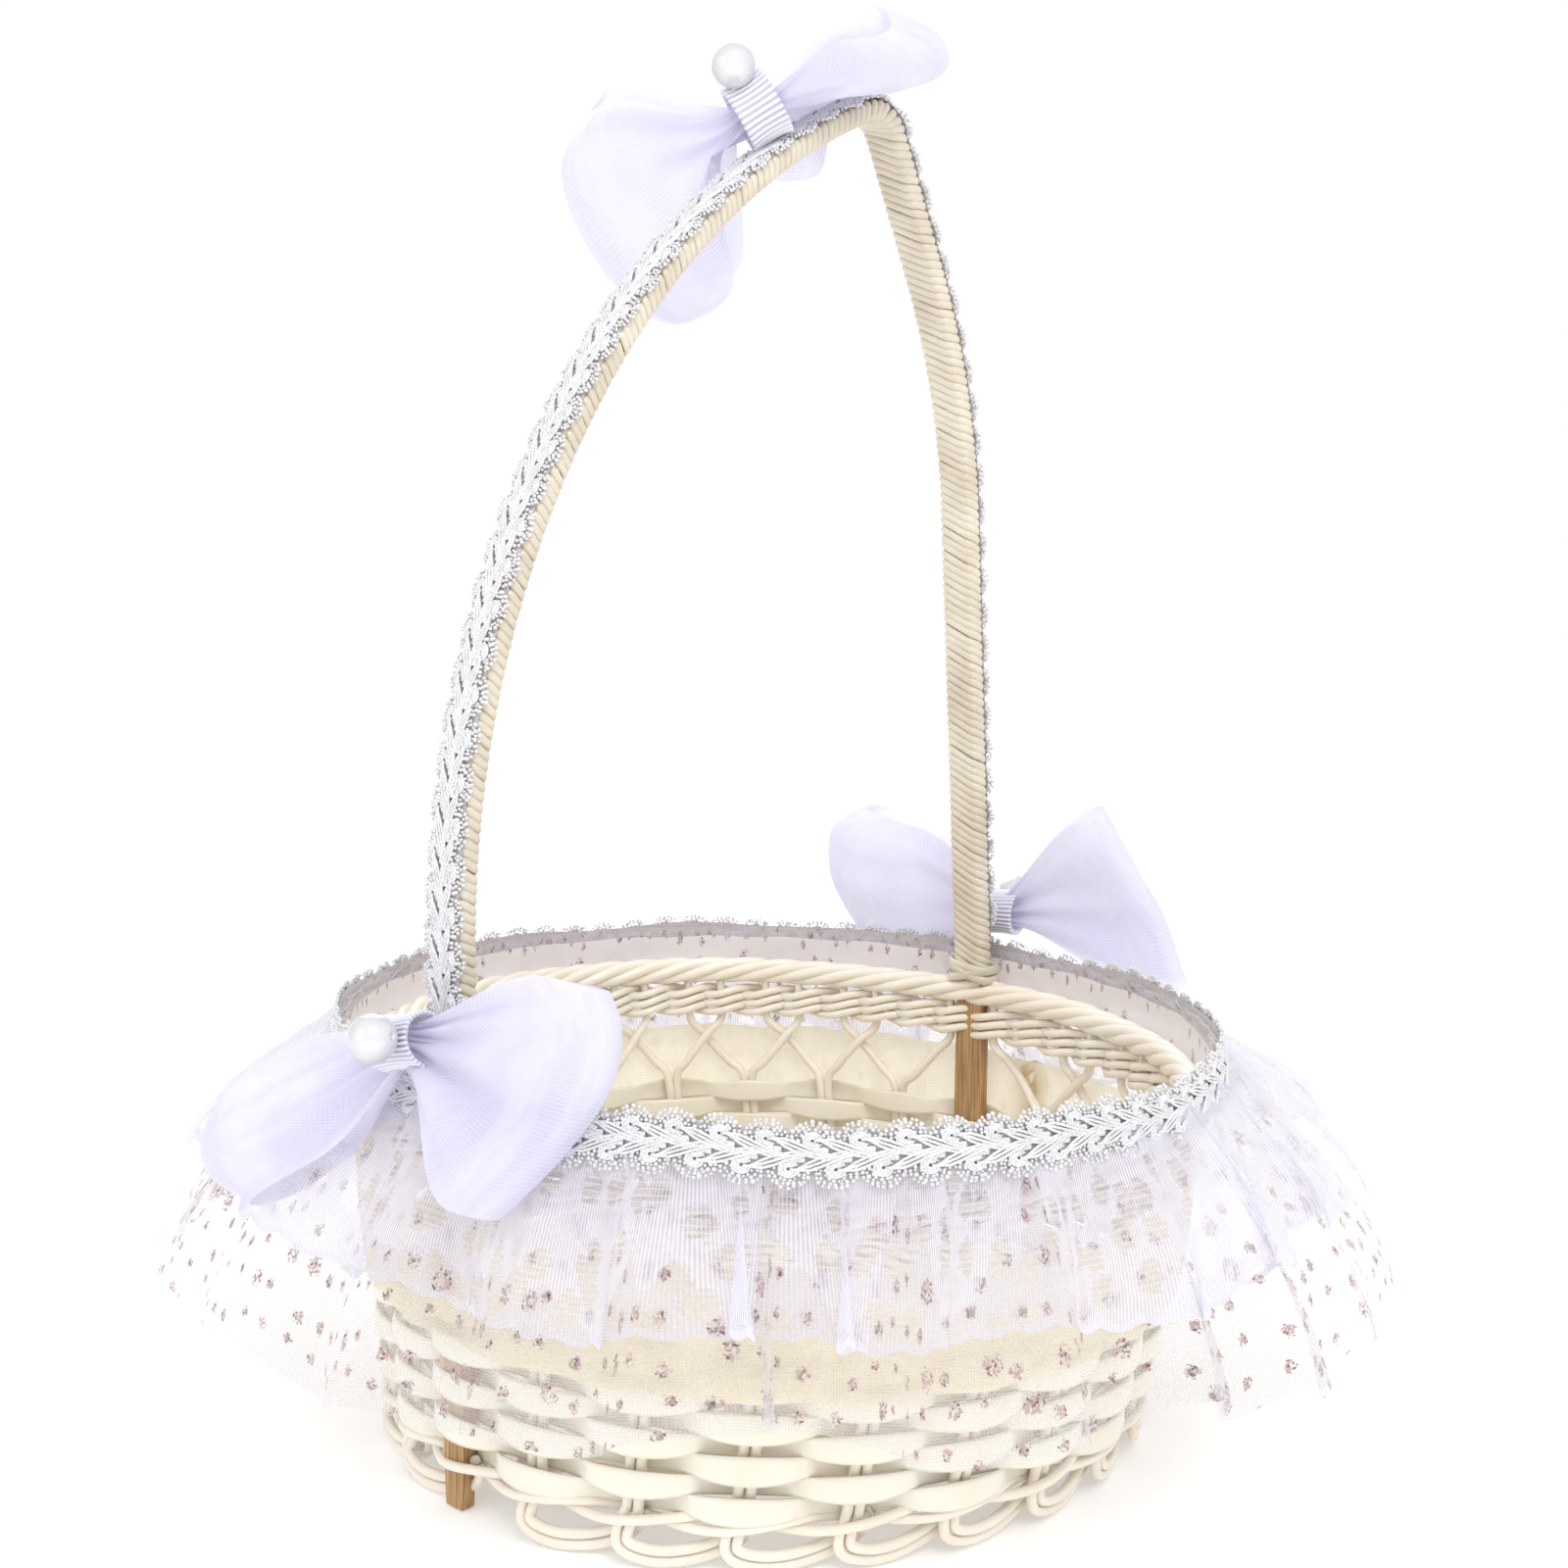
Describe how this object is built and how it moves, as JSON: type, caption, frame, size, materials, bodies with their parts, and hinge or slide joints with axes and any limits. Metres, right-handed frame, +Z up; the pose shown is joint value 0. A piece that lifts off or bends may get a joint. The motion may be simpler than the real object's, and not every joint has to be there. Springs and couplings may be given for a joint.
{
  "type": "flower girl basket",
  "caption": "Oval open wicker basket with a bowed cane-wrapped handle, braid rim, lace and sheer ruffles, a satin sash and pearl bows.",
  "frame": {"origin": "middle of the oval wall on the table plane that the basket rests on", "axes": "+Z up, +X in the plane of the handle towards the leg with the steeper slope, +Y along the long axis of the rim oval"},
  "size_m": [0.297, 0.3262, 0.3914],
  "materials": {
    "bamboo": "fine grained natural bamboo",
    "cane_wrap": "glossy beige cream flat cane",
    "cane": "glossy ivory round cane",
    "flat_cane": "satin ivory flat strip",
    "braid": "silvery white shiny braid",
    "tape": "beige pink heading tape",
    "satin": "butter yellow satin",
    "gold_satin": "gold satin",
    "lace": "soft lavender white lace",
    "organza": "sheer white organza with glitter dots",
    "bow_ribbon": "lavender white sheer satin",
    "knot_ribbon": "ribbed white ribbon",
    "pearl": "lustrous pearl bead"
  },
  "bodies": {
    "root": {"handle_slat": "bamboo", "handle_cane_wrap": "cane_wrap", "handle_braid": "braid", "leg_lashings": "cane", "stake_pairs": "cane", "flat_strips": "flat_cane", "upper_weavers": "cane", "foot_weavers": "cane", "foot_loop_border": "cane", "base_sticks": "cane", "base_weave": "cane", "rim_rope": "cane", "heading_tape": "tape", "rim_braid": "braid", "satin_sash": "satin", "sash_knot": "gold_satin", "lace_ruffle": "lace", "organza_ruffle": "organza", "top_bow_ribbon": "bow_ribbon", "top_bow_knot": "knot_ribbon", "top_bow_pearl": "pearl", "left_bow_ribbon": "bow_ribbon", "left_bow_knot": "knot_ribbon", "left_bow_pearl": "pearl", "right_bow_ribbon": "bow_ribbon", "right_bow_knot": "knot_ribbon", "right_bow_pearl": "pearl"}
  },
  "joints": []
}
